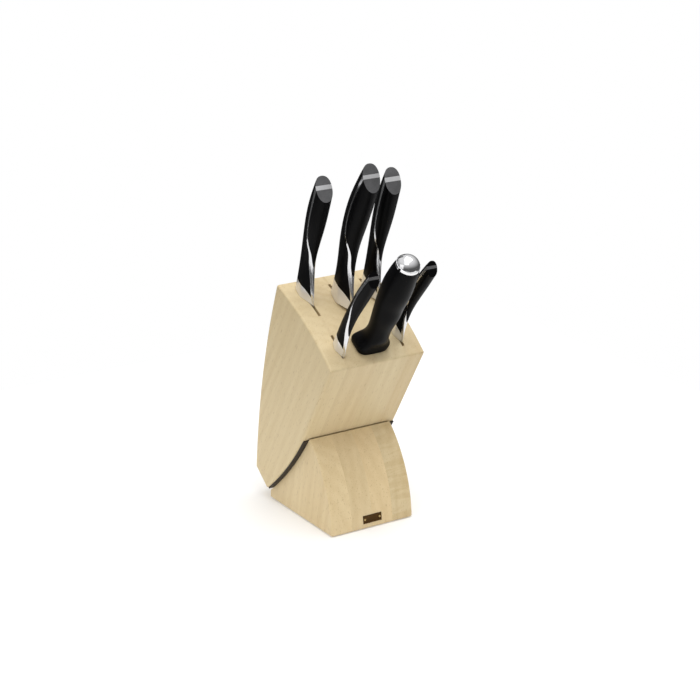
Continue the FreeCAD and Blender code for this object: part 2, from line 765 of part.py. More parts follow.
def steel_rod():
    seat = steel_seat()
    rod = Part.makeCylinder(ROD_RADIUS, ROD_LENGTH + ROD_TANG, seat.at(0, -ROD_LENGTH), seat.along)
    tip = [e for e in rod.Edges if (e.CenterOfMass - seat.at(0, -ROD_LENGTH)).Length < 0.1]
    return rod.makeFillet(ROD_TIP_ROUND, tip)


def steel_cap():
    """Domed cap, turned about the handle's end."""
    seat = steel_seat()
    centre = STEEL_PROFILE[-1][4]
    r = STEEL_PROFILE[-1][1] - 0.1
    foot_s = STEEL_HANDLE_LENGTH
    rim_s = foot_s + CAP_RIM
    top_s = foot_s + CAP_HEIGHT
    dome = top_s - rim_s
    ball = (r * r + dome * dome) / (2.0 * dome)
    slope = math.asin(r / ball) / 2.0
    middle = seat.at(centre + ball * math.sin(slope), top_s - ball + ball * math.cos(slope))
    foot_centre = seat.at(centre, foot_s)
    edge_low = seat.at(centre + r, foot_s)
    edge_high = seat.at(centre + r, rim_s)
    top = seat.at(centre, top_s)
    edges = [
        Part.makeLine(foot_centre, edge_low),
        Part.makeLine(edge_low, edge_high),
        Part.Arc(edge_high, middle, top).toShape(),
        Part.makeLine(top, foot_centre),
    ]
    face = Part.Face(Part.Wire(edges))
    return solids_of(face.revolve(foot_centre, seat.along, 360))


# ================================================================ assembly
def build():
    nodes = {}
    left_rear = Seat(-SIDE_SLOT_X, REAR_SLOT_U, REAR_LEAN)
    middle_rear = Seat(MIDDLE_SLOT_X, REAR_SLOT_U, REAR_LEAN)
    right_rear = Seat(SIDE_SLOT_X, REAR_SLOT_U, REAR_LEAN)
    left_front = Seat(-SIDE_SLOT_X, FRONT_SLOT_U, 0.0)
    right_front = Seat(SIDE_SLOT_X, FRONT_SLOT_U, 0.0)
    steel = steel_seat()

    block = rounded_block()
    half = BLOCK_WIDTH / 2.0
    t = SLOT_THICKNESS / 2.0
    boards = [
        ("block_board_left", -half - 1, -SIDE_SLOT_X - t),
        ("block_board_centre_left", -SIDE_SLOT_X + t, MIDDLE_SLOT_X - t),
        ("block_board_centre_right", MIDDLE_SLOT_X + t, SIDE_SLOT_X - t),
        ("block_board_right", SIDE_SLOT_X + t, half + 1),
    ]
    holes = [steel_bore(steel)]
    for x in (-SCREW_X, SCREW_X):
        holes.append(screw_hole(x))
        holes.append(dowel(x, DOWEL_RADIUS + FIT, DOWEL_LENGTH + 1.0))
    for name, x0, x1 in boards:
        b = slab(block, x0, x1)
        if "centre" in name:
            b = b.cut(holes)
        nodes[name] = solids_of(b)
    front_hollows = {}
    for name, seat in (("left", left_front), ("right", right_front)):
        x0 = seat.x - t
        x1 = seat.x + t
        front_hollows[name] = slot_prism(seat, FRONT_SLOT, FRONT_SLOT_DEPTH, x0, x1)
    nodes["seam_strips_left"] = seam_strips(
        block, -SIDE_SLOT_X, left_rear, LEFT_SLOT, left_front,
        front_hollows["left"], FRONT_SLOT_DEPTH)
    nodes["seam_strips_middle"] = seam_strips(
        block, MIDDLE_SLOT_X, middle_rear, MIDDLE_SLOT, steel,
        steel_bore(steel), BORE_DEPTH)
    nodes["seam_strips_right"] = seam_strips(
        block, SIDE_SLOT_X, right_rear, RIGHT_SLOT, right_front,
        front_hollows["right"], FRONT_SLOT_DEPTH)

    # base
    base = rounded_base()
    board_width = BASE_WIDTH / BASE_BOARDS
    starts, out = pin_starts()
    cuts = [foot_recess(x, y) for x, y in foot_places().values()]
    cuts.append(plate_box(PLATE_WIDTH + 2 * FIT, PLATE_HEIGHT + 2 * FIT,
                          PLATE_THICKNESS - PLATE_PROUD, 5.0))
    cuts.extend(holes[1:])
    cuts.extend(pin_hole(start, out) for start in starts)
    names = ["base_board_left", "base_board_centre_left",
             "base_board_centre_right", "base_board_right"]
    for i, name in enumerate(names):
        x0 = -BASE_WIDTH / 2.0 + i * board_width
        board = slab(base, x0, x0 + board_width)
        nodes[name] = solids_of(board.cut(cuts))
    nodes["cradle_liner"] = solids_of(cradle_liner().cut(holes[1:]))
    for name, (x, y) in foot_places().items():
        nodes[name] = foot(x, y)
    nodes["base_screws"] = Part.makeCompound([screw(-SCREW_X), screw(SCREW_X)])
    nodes["base_dowels"] = Part.makeCompound(
        [dowel(x, DOWEL_RADIUS, DOWEL_LENGTH) for x in (-SCREW_X, SCREW_X)])
    plate = plate_box(PLATE_WIDTH, PLATE_HEIGHT, PLATE_THICKNESS - PLATE_PROUD, PLATE_PROUD)
    for start in starts:
        plate = plate.cut(pin_hole(start + out, out))
    nodes["base_plate"] = solids_of(plate)
    nodes["base_plate_pins"] = Part.makeCompound([plate_pin(start, out) for start in starts])

    # knives: each blade's spine and heel lie this far in front of its slot's rear end
    bread = Knife("bread_knife", left_rear, MEDIUM_SHAPE, MEDIUM_BAND, MEDIUM_BUTT,
                  MEDIUM_FERRULE, shift=0.4)
    edge = serrated_edge(BREAD_WIDTH, LONG_BLADE, 2.0, SERRATION_PITCH, SERRATION_DEPTH, 16.0)
    nodes.update(bread.pieces(blade_solid(left_rear, 1.5, edge, BLADE_THICKNESS)))
    chef = Knife("chefs_knife", middle_rear, CHEF_SHAPE, CHEF_BAND, CHEF_BUTT, CHEF_FERRULE)
    edge = curved_edge(CHEF_WIDTH, LONG_BLADE, 3.0, 2.5)
    nodes.update(chef.pieces(blade_solid(middle_rear, 13.4, edge, BLADE_THICKNESS)))
    carving = Knife("carving_knife", right_rear, MEDIUM_SHAPE, MEDIUM_BAND, MEDIUM_BUTT,
                    MEDIUM_FERRULE, shift=-12.5, stretch=1.045)
    edge = curved_edge(CARVING_WIDTH, LONG_BLADE, 3.0, 4.5)
    nodes.update(carving.pieces(blade_solid(right_rear, 10.5, edge, BLADE_THICKNESS)))
    paring = Knife("paring_knife", left_front, SMALL_SHAPE, SMALL_BAND, SMALL_BUTT,
                   SMALL_FERRULE)
    edge = curved_edge(PARING_WIDTH, PARING_BLADE, 2.0, 2.6, 10)
    nodes.update(paring.pieces(blade_solid(left_front, 7.8, edge, PARING_THICKNESS)))
    utility = Knife("utility_knife", right_front, SMALL_SHAPE, SMALL_BAND, SMALL_BUTT,
                    SMALL_FERRULE, shift=3.8, stretch=0.96)
    edge = curved_edge(UTILITY_WIDTH, UTILITY_BLADE, 2.0, 3.6, 10)
    nodes.update(utility.pieces(blade_solid(right_front, 4.2, edge, PARING_THICKNESS)))

    # sharpening steel
    nodes["steel_rod"] = steel_rod()
    nodes["steel_handle"] = steel_handle()
    nodes["steel_cap"] = steel_cap()
    return nodes


def placed(nodes):
    """Centre the whole assembly over the origin with its feet on z = 0."""
    box = FreeCAD.BoundBox()
    for s in nodes.values():
        box.add(s.optimalBoundingBox(False, False))
    shift = V(-box.Center.x, -box.Center.y, -box.ZMin)
    for s in nodes.values():
        s.translate(shift)
    return shift


def main():
    os.makedirs("parts", exist_ok=True)
    nodes = build()
    shift = placed(nodes)
    print("shift", shift)
    for name, shape in sorted(nodes.items()):
        shape.exportStep("parts/" + name + ".step")
        print("%-28s solids %d valid %s volume %.0f" % (
            name, len(shape.Solids), shape.isValid(), shape.Volume))
    box = FreeCAD.BoundBox()
    for s in nodes.values():
        box.add(s.optimalBoundingBox(False, False))
    print("size %.1f x %.1f x %.1f" % (box.XLength, box.YLength, box.ZLength))


main()
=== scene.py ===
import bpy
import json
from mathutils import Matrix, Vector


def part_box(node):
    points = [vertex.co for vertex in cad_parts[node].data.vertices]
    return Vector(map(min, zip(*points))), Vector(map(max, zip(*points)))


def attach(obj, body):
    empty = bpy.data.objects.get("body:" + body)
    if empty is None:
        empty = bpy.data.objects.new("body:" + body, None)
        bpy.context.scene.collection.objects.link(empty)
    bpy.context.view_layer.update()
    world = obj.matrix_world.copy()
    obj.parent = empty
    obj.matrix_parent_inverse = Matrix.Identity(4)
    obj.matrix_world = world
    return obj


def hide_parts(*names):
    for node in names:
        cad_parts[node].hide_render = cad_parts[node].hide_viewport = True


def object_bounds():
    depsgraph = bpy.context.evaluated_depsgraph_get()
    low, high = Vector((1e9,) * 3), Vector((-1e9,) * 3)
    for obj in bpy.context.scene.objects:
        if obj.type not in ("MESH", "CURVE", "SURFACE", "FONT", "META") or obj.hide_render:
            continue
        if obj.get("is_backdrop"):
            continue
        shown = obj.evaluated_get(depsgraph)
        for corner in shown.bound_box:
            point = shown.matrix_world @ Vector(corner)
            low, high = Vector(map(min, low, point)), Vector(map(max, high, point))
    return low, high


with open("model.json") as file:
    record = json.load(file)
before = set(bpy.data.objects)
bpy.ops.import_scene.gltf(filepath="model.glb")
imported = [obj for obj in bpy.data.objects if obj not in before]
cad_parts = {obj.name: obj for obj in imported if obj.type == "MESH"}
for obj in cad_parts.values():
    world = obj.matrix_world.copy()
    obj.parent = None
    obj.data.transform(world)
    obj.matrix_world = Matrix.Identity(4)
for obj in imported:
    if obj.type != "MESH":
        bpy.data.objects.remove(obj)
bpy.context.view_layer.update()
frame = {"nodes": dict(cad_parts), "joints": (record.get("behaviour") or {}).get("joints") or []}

import json
import math

import bmesh
import bpy
from bpy.props import FloatProperty, FloatVectorProperty, IntProperty, PointerProperty
from mathutils import Matrix, Vector

bl_info = {
    "name": "Knife block",
    "version": (1, 0, 0),
    "blender": (4, 5, 0),
    "location": "3D View > Sidebar > Knife block",
    "description": "Finishes for a leaning wood knife block, its knives and its sharpening steel",
    "category": "Object",
}

NODES = frame["nodes"]
JOINTS = {joint["child"]: joint for joint in frame["joints"]}
KNIVES = ("bread_knife", "chefs_knife", "carving_knife", "paring_knife", "utility_knife")
FEET = ("foot_front_left", "foot_front_right", "foot_rear_left", "foot_rear_right")
LIGHTS = (                        # name, place, size, setting that holds the power
    ("key_light", (-0.60, -0.90, 1.60), 1.0, "key_power"),
    ("top_light", (0.15, -0.25, 1.7), 1.2, "top_power"),
    ("side_light", (-1.35, -0.25, 0.55), 0.9, "side_power"),
)
LIGHT_AIM = Vector((0, 0, 0.17))
FLOOR_SIZE = 1.1
SKY_LOW = 0.18                    # brightness of the sky at the horizon
SKY_HIGH = 1.55                   # brightness of the sky overhead
CAMERA_DISTANCE = 1.904
CAMERA_LENS = 97.7
BLOCK_LEAN = math.radians(31.5)   # how far the block's grain leans from upright
MM = 0.001
FIELD_DEPTH = 0.35 * MM           # how far the plate's field is sunk
BLADE_HALF = 1.3 * MM             # beyond this from the middle plane lies the bolster


# ---------------------------------------------------------------- settings
class WoodSettings(bpy.types.PropertyGroup):
    light_colour: FloatVectorProperty(
        name="Light wood", description="Colour between the growth rings",
        subtype="COLOR", size=3, min=0, max=1, default=(0.760, 0.620, 0.375))
    dark_colour: FloatVectorProperty(
        name="Dark wood", description="Colour of the growth rings and streaks",
        subtype="COLOR", size=3, min=0, max=1, default=(0.610, 0.455, 0.230))
    fleck_colour: FloatVectorProperty(
        name="Flecks", description="Colour of the short brown flecks of beech",
        subtype="COLOR", size=3, min=0, max=1, default=(0.400, 0.255, 0.115))
    ring_spacing: FloatProperty(
        name="Ring spacing", description="Distance between growth rings",
        unit="LENGTH", min=0.001, default=0.011)
    streak_width: FloatProperty(
        name="Streak width", description="Width of the soft streaks along the grain",
        unit="LENGTH", min=0.0005, default=0.005)
    fibre_depth: FloatProperty(
        name="Fibre depth", description="Depth of the open grain",
        unit="LENGTH", min=0, default=0.00006)


class HandleSettings(bpy.types.PropertyGroup):
    grip_colour: FloatVectorProperty(
        name="Grip", description="Colour of the moulded grips",
        subtype="COLOR", size=3, min=0, max=1, default=(0.0030, 0.0030, 0.0034))
    end_colour: FloatVectorProperty(
        name="Grip ends", description="Colour of the flat sanded ends of the grips",
        subtype="COLOR", size=3, min=0, max=1, default=(0.060, 0.060, 0.062))
    grip_roughness: FloatProperty(
        name="Grip roughness", description="Middle roughness of the satin grips",
        min=0, max=1, default=0.34)


class SteelSettings(bpy.types.PropertyGroup):
    steel_colour: FloatVectorProperty(
        name="Steel", description="Colour of the stainless steel",
        subtype="COLOR", size=3, min=0, max=1, default=(0.720, 0.720, 0.730))
    polish_roughness: FloatProperty(
        name="Polish", description="Roughness of bolsters, bands and cap",
        min=0, max=1, default=0.14)
    satin_roughness: FloatProperty(
        name="Satin", description="Roughness of the ground blades",
        min=0, max=1, default=0.30)
    cap_groove: FloatProperty(
        name="Cap groove", description="Depth of the turned line round the cap",
        unit="LENGTH", min=0, default=0.0002)


class BaseSettings(bpy.types.PropertyGroup):
    # Painted shade, in part: the liner's near-black colour is the rubber strip's own and also paints the
    # shade in the gap between block and base.
    liner_and_gap_shade_colour: FloatVectorProperty(
        name="Liner", description="Colour of the strip between block and base",
        subtype="COLOR", size=3, min=0, max=1, default=(0.030, 0.020, 0.012))
    plate_colour: FloatVectorProperty(
        name="Plate", description="Colour of the plate's sunk field",
        subtype="COLOR", size=3, min=0, max=1, default=(0.520, 0.350, 0.150))
    border_colour: FloatVectorProperty(
        name="Plate border", description="Colour of the plate's raised border",
        subtype="COLOR", size=3, min=0, max=1, default=(0.075, 0.040, 0.014))
    border_width: FloatProperty(
        name="Border width", description="Width of the plate's raised border",
        unit="LENGTH", min=0.0002, default=0.0011)
    foot_grooves: IntProperty(
        name="Foot grooves", description="Ring grooves under each rubber foot",
        min=0, max=3, default=2)


class StageSettings(bpy.types.PropertyGroup):
    floor_colour: FloatVectorProperty(
        name="Floor", description="Colour of the plain floor",
        subtype="COLOR", size=3, min=0, max=1, default=(0.90, 0.90, 0.90))
    key_power: FloatProperty(
        name="Key light", description="Power of the large high light on the front left",
        unit="POWER", min=0, default=3.5)
    top_power: FloatProperty(
        name="Top light", description="Power of the light overhead",
        unit="POWER", min=0, default=13.0)
    side_power: FloatProperty(
        name="Side light", description="Power of the soft light on the left",
        unit="POWER", min=0, default=2.0)
    sky_strength: FloatProperty(
        name="Room light", description="Strength of the light all round",
        min=0, default=0.55)
    floor_glow: FloatProperty(
        name="Floor glow", description="Light that the floor gives off, which keeps it white",
        min=0, default=0.14)


SETTINGS = {
    "block_wood": WoodSettings,
    "block_handles": HandleSettings,
    "block_steel": SteelSettings,
    "block_base": BaseSettings,
    "block_stage": StageSettings,
}


# ---------------------------------------------------------------- node helpers
def wire(tree, source, target):
    """Joins a socket to an input, or sets the input when the source is a plain value."""
    if isinstance(source, bpy.types.NodeSocket):
        tree.links.new(source, target)
    else:
        target.default_value = source


def calc(tree, operation, a, b=0.0, clamp=False):
    node = tree.nodes.new("ShaderNodeMath")
    node.operation = operation
    node.use_clamp = clamp
    wire(tree, a, node.inputs[0])
    wire(tree, b, node.inputs[1])
    return node.outputs[0]


def stretch(tree, vector, factors):
    node = tree.nodes.new("ShaderNodeVectorMath")
    node.operation = "MULTIPLY"
    wire(tree, vector, node.inputs[0])
    node.inputs[1].default_value = factors
    return node.outputs[0]


def noise(tree, vector, scale, detail=2.0, roughness=0.5, distortion=0.0):
    node = tree.nodes.new("ShaderNodeTexNoise")
    wire(tree, vector, node.inputs["Vector"])
    wire(tree, scale, node.inputs["Scale"])
    node.inputs["Detail"].default_value = detail
    node.inputs["Roughness"].default_value = roughness
    node.inputs["Distortion"].default_value = distortion
    return node.outputs["Fac"]


def span(tree, value, low, high, out_low=0.0, out_high=1.0):
    """Maps low..high to out_low..out_high, held at both ends."""
    node = tree.nodes.new("ShaderNodeMapRange")
    wire(tree, value, node.inputs["Value"])
    for name, number in (("From Min", low), ("From Max", high),
                         ("To Min", out_low), ("To Max", out_high)):
        wire(tree, number, node.inputs[name])
    return node.outputs["Result"]


def blend_colours(tree, factor, a, b):
    node = tree.nodes.new("ShaderNodeMix")
    node.data_type = "RGBA"
    wire(tree, factor, node.inputs[0])
    wire(tree, a, node.inputs[6])
    wire(tree, b, node.inputs[7])
    return node.outputs[2]


def new_group(name, inputs, outputs):
    """Empty shader group; returns it with its input and output nodes."""
    group = bpy.data.node_groups.new(name, "ShaderNodeTree")
    for socket_name, kind, default in inputs:
        socket = group.interface.new_socket(name=socket_name, in_out="INPUT", socket_type=kind)
        if default is not None:
            socket.default_value = default
    for socket_name, kind in outputs:
        group.interface.new_socket(name=socket_name, in_out="OUTPUT", socket_type=kind)
    return group, group.nodes.new("NodeGroupInput"), group.nodes.new("NodeGroupOutput")


def beech_group():
    """Beech with its grain along Z: rings, soft streaks, short flecks and fine fibres."""
    found = bpy.data.node_groups.get("beech_grain")
    if found:
        return found
    group, source, result = new_group(
        "beech_grain",
        [("Vector", "NodeSocketVector", None),
         ("Light", "NodeSocketColor", (0.8, 0.7, 0.5, 1)),
         ("Dark", "NodeSocketColor", (0.6, 0.4, 0.2, 1)),
         ("Fleck", "NodeSocketColor", (0.4, 0.25, 0.1, 1)),
         ("Ring spacing", "NodeSocketFloat", 0.01),
         ("Streak width", "NodeSocketFloat", 0.005),
         ("Ripple", "NodeSocketFloat", 0.0)],
        [("Color", "NodeSocketColor"),
         ("Height", "NodeSocketFloat"),
         ("Roughness", "NodeSocketFloat")])
    vector = source.outputs["Vector"]
    along = stretch(group, vector, (1.0, 1.0, 0.07))
    rings = group.nodes.new("ShaderNodeTexWave")
    rings.wave_type = "RINGS"
    rings.rings_direction = "Z"
    wire(group, along, rings.inputs["Vector"])
    wire(group, calc(group, "DIVIDE", 0.314, source.outputs["Ring spacing"]), rings.inputs["Scale"])
    rings.inputs["Distortion"].default_value = 5.0
    rings.inputs["Detail"].default_value = 2.0
    rings.inputs["Detail Scale"].default_value = 0.6
    streak_scale = calc(group, "DIVIDE", 1.0, source.outputs["Streak width"])
    streaks = noise(group, along, streak_scale, 4.0, 0.6)
    broad = noise(group, along, 22.0, 2.0)
    fibres = noise(group, stretch(group, vector, (1.0, 1.0, 0.03)), 1500.0, 3.0, 0.65)
    dashes = noise(group, stretch(group, vector, (1.0, 1.0, 0.16)), 900.0, 1.0)
    flecks = span(group, dashes, 0.64, 0.72)
    bands = noise(group, stretch(group, vector, (0.12, 0.12, 1.0)), 210.0, 2.0, 0.5, 0.6)
    ripple = calc(group, "MULTIPLY", span(group, bands, 0.42, 0.62), source.outputs["Ripple"])
    tone = calc(group, "MULTIPLY", rings.outputs["Fac"], 0.16)
    tone = calc(group, "ADD", tone, span(group, streaks, 0.3, 0.75, 0.0, 0.28))
    tone = calc(group, "ADD", tone, span(group, broad, 0.3, 0.7, -0.12, 0.22))
    tone = calc(group, "ADD", tone, ripple)
    tone = calc(group, "ADD", tone, span(group, fibres, 0.3, 0.7, -0.10, 0.10), True)
    wood = blend_colours(group, tone, source.outputs["Light"], source.outputs["Dark"])
    flecked = blend_colours(group, calc(group, "MULTIPLY", flecks, 0.38), wood, source.outputs["Fleck"])
    wire(group, flecked, result.inputs["Color"])
    height = calc(group, "SUBTRACT", fibres, calc(group, "MULTIPLY", flecks, 0.5))
    wire(group, height, result.inputs["Height"])
    wire(group, span(group, streaks, 0.3, 0.7, 0.40, 0.56), result.inputs["Roughness"])
    return group


def mottle_group():
    """Fine uneven sheen of moulded and polished surfaces."""
    found = bpy.data.node_groups.get("fine_mottle")
    if found:
        return found
    group, source, result = new_group(
        "fine_mottle",
        [("Vector", "NodeSocketVector", None),
         ("Grain", "NodeSocketFloat", 2500.0),
         ("Low", "NodeSocketFloat", 0.3),
         ("High", "NodeSocketFloat", 0.4)],
        [("Value", "NodeSocketFloat"), ("Height", "NodeSocketFloat")])
    vector = source.outputs["Vector"]
    fine = noise(group, vector, source.outputs["Grain"], 2.0, 0.6)
    smears = noise(group, vector, 45.0, 3.0, 0.55)
    both = calc(group, "ADD", calc(group, "MULTIPLY", fine, 0.45), calc(group, "MULTIPLY", smears, 0.55))
    value = span(group, both, 0.35, 0.65, source.outputs["Low"], source.outputs["High"])
    wire(group, value, result.inputs["Value"])
    wire(group, fine, result.inputs["Height"])
    return group


def brushed_group():
    """Ground steel: fine lines across the vector's X and Y, long along Z."""
    found = bpy.data.node_groups.get("brushed_lines")
    if found:
        return found
    group, source, result = new_group(
        "brushed_lines",
        [("Vector", "NodeSocketVector", None),
         ("Low", "NodeSocketFloat", 0.25),
         ("High", "NodeSocketFloat", 0.4)],
        [("Value", "NodeSocketFloat"), ("Height", "NodeSocketFloat")])
    lines = noise(group, stretch(group, source.outputs["Vector"], (0.04, 0.04, 1.0)), 3200.0, 3.0, 0.7)
    value = span(group, lines, 0.3, 0.7, source.outputs["Low"], source.outputs["High"])
    wire(group, value, result.inputs["Value"])
    wire(group, lines, result.inputs["Height"])
    return group


def place_group(tree, group, vector, **values):
    node = tree.nodes.new("ShaderNodeGroup")
    node.node_tree = group
    wire(tree, vector, node.inputs["Vector"])
    for name, value in values.items():
        wire(tree, value, node.inputs[name.replace("_", " ")])
    return node


def new_material(name):
    """Material with an empty Principled shader; returns it with its tree and shader."""
    material = bpy.data.materials.new(name)
    material.use_nodes = True
    tree = material.node_tree
    return material, tree, tree.nodes["Principled BSDF"]


def object_vector(tree, turn=(0.0, 0.0, 0.0), move=(0.0, 0.0, 0.0)):
    coordinates = tree.nodes.new("ShaderNodeTexCoord")
    mapping = tree.nodes.new("ShaderNodeMapping")
    mapping.inputs["Rotation"].default_value = turn
    mapping.inputs["Location"].default_value = move
    tree.links.new(coordinates.outputs["Object"], mapping.inputs["Vector"])
    return mapping.outputs["Vector"]


def bump(tree, shader, height, distance, strength=1.0):
    node = tree.nodes.new("ShaderNodeBump")
    node.inputs["Strength"].default_value = strength
    node.inputs["Distance"].default_value = distance
    tree.links.new(height, node.inputs["Height"])
    tree.links.new(node.outputs["Normal"], shader.inputs["Normal"])


def solid(colour):
    return (colour[0], colour[1], colour[2], 1.0)


def toned(colour, factor, warm=0.0):
    """A wood colour made lighter or darker, and a little warmer."""
    red, green, blue = colour
    return solid((min(1, red * factor * (1 + warm)), min(1, green * factor), blue * factor * (1 - warm)))


# ---------------------------------------------------------------- materials
def wood_finish(name, turn, move, tone=1.0, warm=0.0, ripple=0.0):
    wood = bpy.context.scene.block_wood
    material, tree, shader = new_material(name)
    grain = place_group(
        tree, beech_group(), object_vector(tree, turn, move),
        Light=toned(wood.light_colour, tone, warm), Dark=toned(wood.dark_colour, tone, warm),
        Fleck=solid(wood.fleck_colour), Ring_spacing=wood.ring_spacing,
        Streak_width=wood.streak_width, Ripple=ripple)
    tree.links.new(grain.outputs["Color"], shader.inputs["Base Color"])
    tree.links.new(grain.outputs["Roughness"], shader.inputs["Roughness"])
    shader.inputs["Specular IOR Level"].default_value = 0.4
    bump(tree, shader, grain.outputs["Height"], wood.fibre_depth)
    return material


def mottled_finish(name, colour, low, high, grain, depth, metallic=0.0, specular=0.5):
    """Plain colour with a fine uneven sheen, for plastic, rubber and polished metal."""
    material, tree, shader = new_material(name)
    shader.inputs["Base Color"].default_value = solid(colour)
    shader.inputs["Metallic"].default_value = metallic
    shader.inputs["Specular IOR Level"].default_value = specular
    sheen = place_group(tree, mottle_group(), object_vector(tree), Grain=grain, Low=low, High=high)
    tree.links.new(sheen.outputs["Value"], shader.inputs["Roughness"])
    bump(tree, shader, sheen.outputs["Height"], depth)
    return material


def sanded_finish(name, colour):
    """Matt grey end of a grip, with the light specks that sanding leaves."""
    material, tree, shader = new_material(name)
    sheen = place_group(tree, mottle_group(), object_vector(tree), Grain=2200.0, Low=0.0, High=1.0)
    light = solid([channel * 2.1 for channel in colour])
    speckled = blend_colours(tree, sheen.outputs["Value"], solid(colour), light)
    tree.links.new(speckled, shader.inputs["Base Color"])
    shader.inputs["Roughness"].default_value = 0.62
    bump(tree, shader, sheen.outputs["Height"], 0.00004)
    return material


def ground_steel(name, turn, low, high, depth):
    steel = bpy.context.scene.block_steel
    material, tree, shader = new_material(name)
    shader.inputs["Base Color"].default_value = solid(steel.steel_colour)
    shader.inputs["Metallic"].default_value = 1.0
    lines = place_group(tree, brushed_group(), object_vector(tree, turn), Low=low, High=high)
    tree.links.new(lines.outputs["Value"], shader.inputs["Roughness"])
    bump(tree, shader, lines.outputs["Height"], depth)
    return material


def ribbed_steel(name, turn, move):
    """Sharpening rod: fine ribs along its length, which is the turned vector's Z."""
    steel = bpy.context.scene.block_steel
    ribs = 60
    material, tree, shader = new_material(name)
    shader.inputs["Base Color"].default_value = solid([0.8 * c for c in steel.steel_colour])
    shader.inputs["Metallic"].default_value = 1.0
    vector = object_vector(tree, turn, move)
    parts = tree.nodes.new("ShaderNodeSeparateXYZ")
    tree.links.new(vector, parts.inputs[0])
    angle = calc(tree, "ARCTAN2", parts.outputs["Y"], parts.outputs["X"])
    wave = calc(tree, "SINE", calc(tree, "MULTIPLY", angle, float(ribs)))
    lines = place_group(tree, brushed_group(), vector, Low=0.28, High=0.42)
    tree.links.new(lines.outputs["Value"], shader.inputs["Roughness"])
    bump(tree, shader, wave, 0.00012)
    return material


def paint(obj, *materials):
    obj.data.materials.clear()
    for material in materials:
        obj.data.materials.append(material)


# ---------------------------------------------------------------- modelling helpers
def deselect_all():
    for obj in bpy.context.selected_objects:
        obj.select_set(False)


def begin_edit(obj):
    deselect_all()
    obj.select_set(True)
    bpy.context.view_layer.objects.active = obj
    bpy.ops.object.mode_set(mode="EDIT")
    bpy.ops.mesh.select_mode(type="FACE")


def pick_faces(obj, wanted):
    """Selects only the faces that pass the test, in edit mode."""
    mesh = bmesh.from_edit_mesh(obj.data)
    for face in mesh.faces:
        face.select_set(False)
    for face in mesh.faces:
        if wanted(face):
            face.select_set(True)
    bmesh.update_edit_mesh(obj.data)


def end_edit():
    bpy.ops.mesh.select_all(action="SELECT")
    bpy.ops.mesh.normals_make_consistent(inside=False)
    bpy.ops.object.mode_set(mode="OBJECT")


def rounded_edges(obj, width, segments=3, angle=35.0):
    bevel = obj.modifiers.new("rounded_edges", "BEVEL")
    bevel.width = width
    bevel.segments = segments
    bevel.limit_method = "ANGLE"
    bevel.angle_limit = math.radians(angle)
    bpy.context.view_layer.objects.active = obj
    bpy.ops.object.modifier_apply(modifier=bevel.name)


def set_down(obj, matrix):
    """Puts a piece modelled at the origin in its place, and leaves its object at the origin."""
    deselect_all()
    obj.select_set(True)
    bpy.context.view_layer.objects.active = obj
    obj.matrix_world = matrix
    bpy.ops.object.transform_apply(location=True, rotation=True, scale=True)
    bpy.ops.object.shade_smooth_by_angle(angle=math.radians(32))


def hand_over(obj, body, slot_name, *nodes):
    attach(obj, body)
    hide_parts(*nodes)


def axis_frame(axis, point):
    """Matrix whose Z is the axis and whose X stays level, at a point."""
    up = Vector(axis).normalized()
    side = Vector((1, 0, 0))
    side = (side - up * side.dot(up)).normalized()
    rear = up.cross(side)
    matrix = Matrix((side, rear, up)).transposed().to_4x4()
    matrix.translation = point
    return matrix


def extent(node, matrix):
    """Box of a CAD node in the axes of a matrix, as low and high corners."""
    back = matrix.inverted()
    points = [back @ vertex.co for vertex in NODES[node].data.vertices]
    low = Vector([min(p[i] for p in points) for i in range(3)])
    high = Vector([max(p[i] for p in points) for i in range(3)])
    return low, high


def flat_direction(node, wanted):
    """Normal of a CAD node's largest flat area among the faces that pass the test."""
    areas = {}
    for polygon in NODES[node].data.polygons:
        if wanted(polygon):
            key = tuple(round(c, 2) for c in polygon.normal)
            areas.setdefault(key, []).append(polygon)
    best = max(areas.values(), key=lambda group: sum(p.area for p in group))
    total = Vector((0, 0, 0))
    for polygon in best:
        total += polygon.normal * polygon.area
    return total.normalized()


# ---------------------------------------------------------------- pieces
def model_foot(name, low, high, grooves):
    """Rubber foot with ring grooves pressed into its underside."""
    radius = (high.x - low.x) / 2
    height = high.z - low.z
    deselect_all()
    bpy.ops.mesh.primitive_cylinder_add(vertices=64, radius=radius, depth=height, end_fill_type="NGON")
    foot = bpy.context.object
    foot.name = name
    begin_edit(foot)
    pick_faces(foot, lambda face: face.normal.z < -0.9)
    bpy.ops.mesh.inset(thickness=1.0 * MM)
    for step in range(grooves):
        bpy.ops.mesh.inset(thickness=0.25 * MM, depth=-0.3 * MM)
        bpy.ops.mesh.inset(thickness=0.45 * MM)
        bpy.ops.mesh.inset(thickness=0.25 * MM, depth=0.3 * MM)
        bpy.ops.mesh.inset(thickness=0.6 * MM)
    end_edit()
    rounded_edges(foot, 0.25 * MM)
    middle = (low + high) / 2
    set_down(foot, Matrix.Translation(middle))
    return foot


def model_plate(name, matrix, low, high, border):
    """Blank plate: a raised border round a sunk field."""
    size = high - low
    deselect_all()
    bpy.ops.mesh.primitive_cube_add(size=1)
    plate = bpy.context.object
    plate.name = name
    plate.scale = size
    bpy.ops.object.transform_apply(location=True, rotation=True, scale=True)
    begin_edit(plate)
    pick_faces(plate, lambda face: face.normal.z > 0.9)
    bpy.ops.mesh.inset(thickness=border)
    bpy.ops.mesh.inset(thickness=0.15 * MM, depth=-FIELD_DEPTH)
    end_edit()
    rounded_edges(plate, 0.12 * MM, 2)
    for polygon in plate.data.polygons:
        inside_x = abs(polygon.center.x) < size.x / 2 - border * 0.9
        inside_y = abs(polygon.center.y) < size.y / 2 - border * 0.9
        if polygon.center.z > 0 and inside_x and inside_y:
            polygon.material_index = 1
    set_down(plate, matrix @ Matrix.Translation((low + high) / 2))
    return plate


